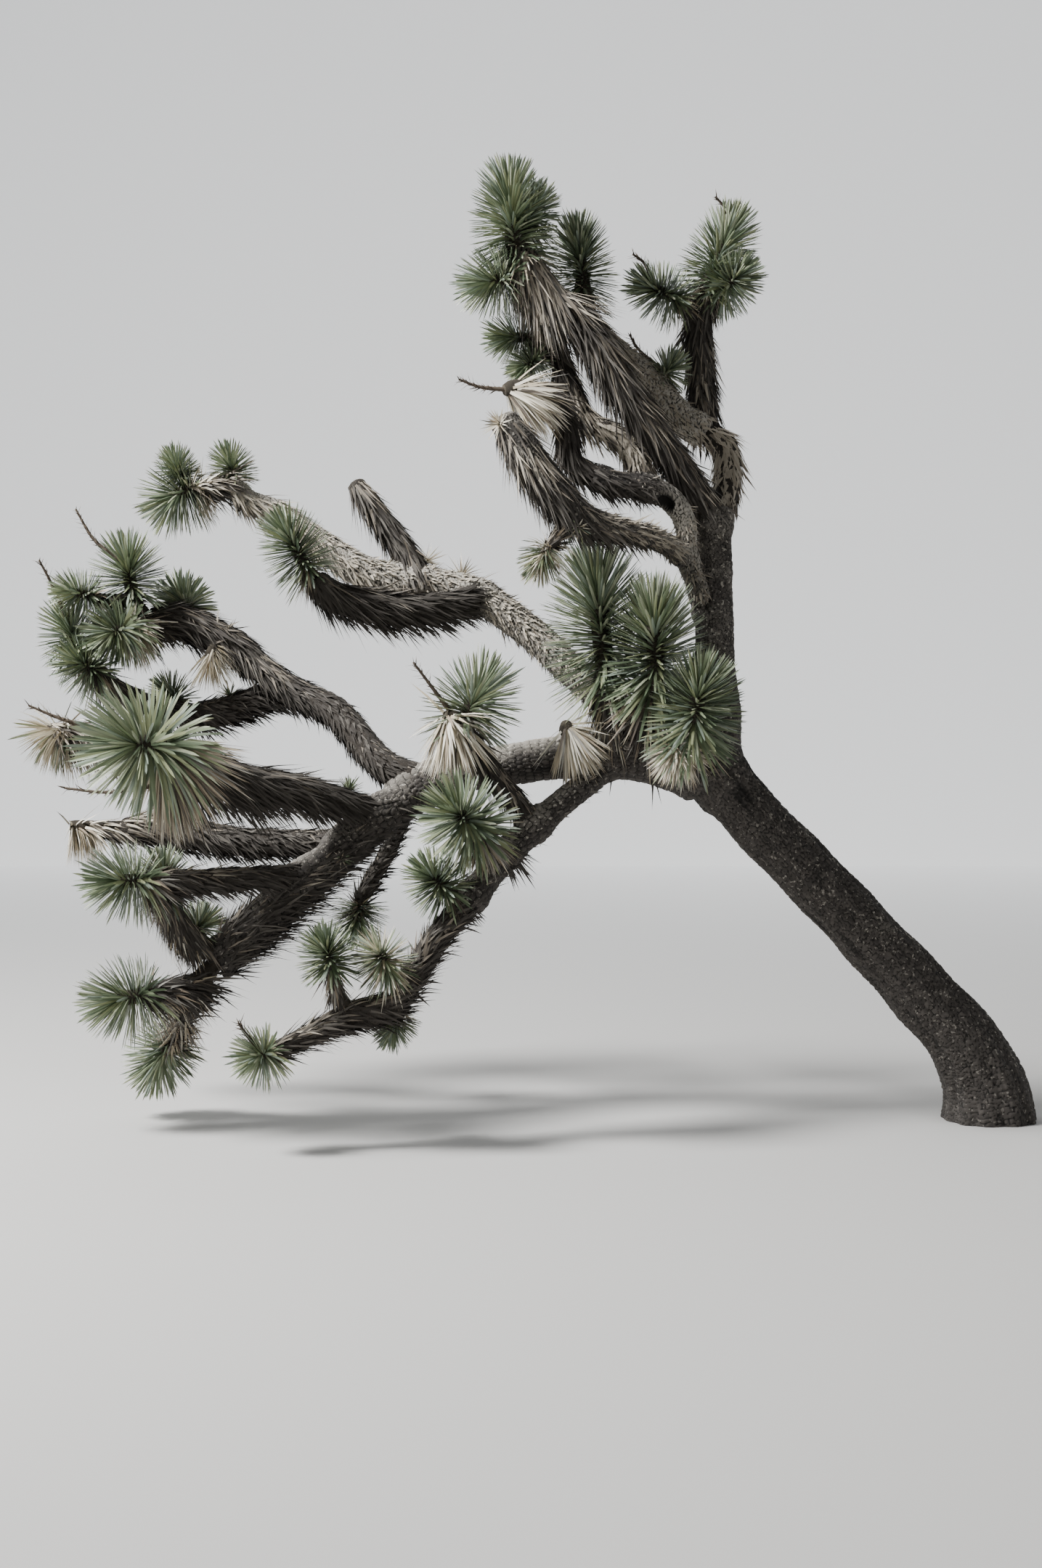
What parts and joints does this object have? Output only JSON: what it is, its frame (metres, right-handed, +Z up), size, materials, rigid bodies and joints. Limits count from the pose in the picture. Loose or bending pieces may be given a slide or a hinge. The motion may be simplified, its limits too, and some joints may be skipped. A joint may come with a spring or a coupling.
{
  "type": "leaning joshua tree",
  "caption": "Whole joshua tree: a bare trunk leans from its flared foot to a fork, and crooked shaggy boughs end in heads of dagger leaves.",
  "frame": {"origin": "middle of the trunk's flat foot, at ground level", "axes": "+Z up, the trunk leans towards -X, and the tree is seen from -Y"},
  "size_m": [4.4128, 1.8138, 4.1584],
  "materials": {
    "bark": "rough, finely plated dark grey-brown bark",
    "thatch": "limb under a thatch of dry, bent-back dead leaves, grey to straw",
    "leaves": "stiff, waxy grey-green dagger leaves, straw-coloured where dead"
  },
  "bodies": {
    "root": {"trunk": "bark", "upright_bough": "bark", "low_bough": "bark", "low_bough_outer": "bark", "front_bough": "bark", "front_bough_outer": "thatch", "arched_bough": "thatch", "arched_bough_upper": "thatch", "middle_bough": "thatch", "lower_bough": "thatch", "lowest_bough": "thatch", "drooping_bough": "thatch", "long_bough": "bark", "long_bough_lower": "thatch", "dead_stub": "thatch", "left_bough": "thatch", "hooked_bough": "bark", "hooked_bough_outer": "thatch", "twisting_bough": "thatch", "diagonal_bough": "thatch", "outer_bough": "thatch", "outer_bough_upper": "bark", "right_bough": "thatch", "spur_bough": "thatch", "top_leaves": "leaves", "top_right_leaves": "leaves", "twist_tip_leaves": "leaves", "hook_tip_leaves": "leaves", "right_tip_leaves": "leaves", "right_side_leaves": "leaves", "outer_side_leaves": "leaves", "front_tall_leaves": "leaves", "front_middle_leaves": "leaves", "front_low_leaves": "leaves", "left_side_leaves": "leaves", "low_tuft_leaves": "leaves", "spur_tip_leaves": "leaves", "front_side_leaves": "leaves", "front_small_leaves": "leaves", "long_tip_leaves": "leaves", "long_upper_leaves": "leaves", "long_lower_tip_leaves": "leaves", "upper_left_leaves": "leaves", "upper_right_leaves": "leaves", "upper_skirt_leaves": "leaves", "upper_front_leaves": "leaves", "arch_tip_leaves": "leaves", "arch_left_leaves": "leaves", "middle_tip_leaves": "leaves", "middle_left_leaves": "leaves", "lower_tip_leaves": "leaves", "lowest_tip_leaves": "leaves", "lowest_top_leaves": "leaves", "foot_left_leaves": "leaves", "foot_down_leaves": "leaves", "droop_tip_leaves": "leaves", "outer_left_leaves": "leaves", "outer_middle_leaves": "leaves", "outer_down_leaves": "leaves", "outer_tip_leaves": "leaves"}
  },
  "joints": []
}
